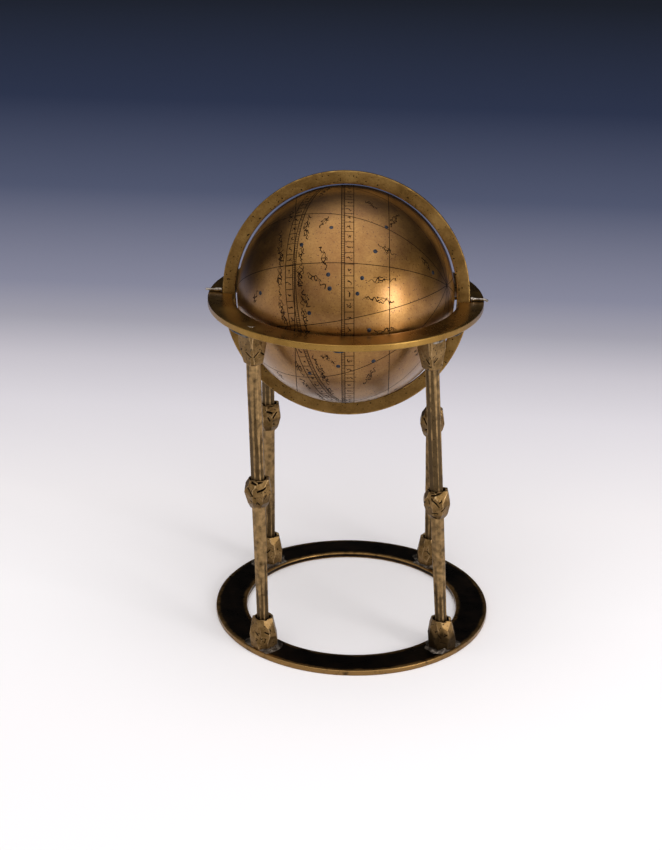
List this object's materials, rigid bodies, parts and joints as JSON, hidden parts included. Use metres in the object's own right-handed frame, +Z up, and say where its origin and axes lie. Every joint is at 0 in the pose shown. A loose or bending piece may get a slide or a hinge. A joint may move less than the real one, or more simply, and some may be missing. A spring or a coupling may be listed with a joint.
{
  "type": "celestial globe",
  "caption": "Engraved brass celestial globe in a meridian ring, resting by its pole pins in the slotted horizon ring of a legged stand; it spins, swings and lifts out.",
  "frame": {"origin": "middle of the stand's footprint on the surface that it rests on, halfway between the centres of the base ring and of the horizon ring, which is set a little to the left", "axes": "+Z up; the globe's polar axis and the pole pins run along X; the front is -Y, where the solstice side of the ecliptic band faces; the meridian ring's top leans towards +Y"},
  "size_m": [0.1177, 0.1144, 0.1884],
  "materials": {
    "globe_brass": "satin, hand-burnished, warm copper tone",
    "meridian_brass": "filed and worn, olive tarnish",
    "horizon_brass": "polished flat, olive-brown",
    "leg_brass": "cast and filed, dull olive-brown",
    "base_patina": "near-black patina, brown brass at the edges",
    "solder": "dull grey soft solder",
    "pin_steel": "bright drawn wire",
    "star_silver": "tarnished silver, blue-grey"
  },
  "bodies": {
    "stand": {"base_ring": "base_patina", "base_solder": "solder", "horizon_ring": "horizon_brass", "horizon_solder": "solder", "foot_front_left": "leg_brass", "lower_shaft_front_left": "leg_brass", "knop_front_left": "leg_brass", "upper_shaft_front_left": "leg_brass", "capital_front_left": "leg_brass", "foot_front_right": "leg_brass", "lower_shaft_front_right": "leg_brass", "knop_front_right": "leg_brass", "upper_shaft_front_right": "leg_brass", "capital_front_right": "leg_brass", "foot_back_right": "leg_brass", "lower_shaft_back_right": "leg_brass", "knop_back_right": "leg_brass", "upper_shaft_back_right": "leg_brass", "capital_back_right": "leg_brass", "foot_back_left": "leg_brass", "lower_shaft_back_left": "leg_brass", "knop_back_left": "leg_brass", "upper_shaft_back_left": "leg_brass", "capital_back_left": "leg_brass"},
    "pole_pins": {"pole_pin_left": "pin_steel", "pole_pin_right": "pin_steel"},
    "meridian": {"meridian_ring": "meridian_brass"},
    "globe": {"globe_half_left": "globe_brass", "globe_half_right": "globe_brass", "star_studs": "star_silver"}
  },
  "joints": [
    {"name": "lift_out", "type": "slide", "parent": "stand", "child": "pole_pins", "axis": [0, 0.1495, 0.9888], "range_m": [0, 0.06]},
    {"name": "meridian_swing", "type": "hinge", "parent": "pole_pins", "child": "meridian", "pos_m": [-0.00235, 0, 0.13982], "axis": [1, 0, 0], "range_deg": [-1.4, 18.6]},
    {"name": "globe_spin", "type": "hinge", "parent": "pole_pins", "child": "globe", "pos_m": [-0.00235, 0, 0.13982], "axis": [1, 0, 0], "continuous": true}
  ]
}
